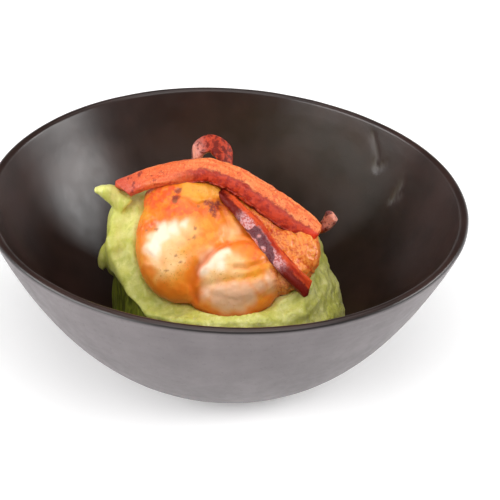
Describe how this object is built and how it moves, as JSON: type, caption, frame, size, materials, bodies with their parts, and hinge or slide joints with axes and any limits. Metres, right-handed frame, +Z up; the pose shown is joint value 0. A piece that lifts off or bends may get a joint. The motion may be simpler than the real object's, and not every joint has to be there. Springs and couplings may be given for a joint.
{
  "type": "bowl of seared prawn on avocado puree",
  "caption": "Oval-rimmed dark stoneware bowl with a scoop of green puree, a curled seared prawn tail on it and strips of roast red pepper laid over the prawn.",
  "frame": {"origin": "on the table under the middle of the bowl, at the height of the foot ring's underside", "axes": "+Z up; -Y is the side the prawn faces, which a diner or a camera looks from; +X is to the right of that view"},
  "size_m": [0.1365, 0.1267, 0.0635],
  "materials": {
    "bowl_glaze": "satin brown-black glaze inside, duller taupe-grey outside",
    "puree": "soft moist green puree, with smears, lumps and a pulled peak",
    "prawn": "seared orange prawn flesh, white where less cooked, moist",
    "roast_pepper": "oily roast red pepper, orange-red on top and dark red at the sides",
    "charred_pepper": "dark red roast pepper with pinkish skin and purple-black char"
  },
  "bodies": {
    "root": {"bowl": "bowl_glaze", "puree": "puree", "prawn": "prawn", "pepper_strip_long": "roast_pepper", "pepper_strip_charred": "charred_pepper", "pepper_strip_end": "charred_pepper"}
  },
  "joints": []
}
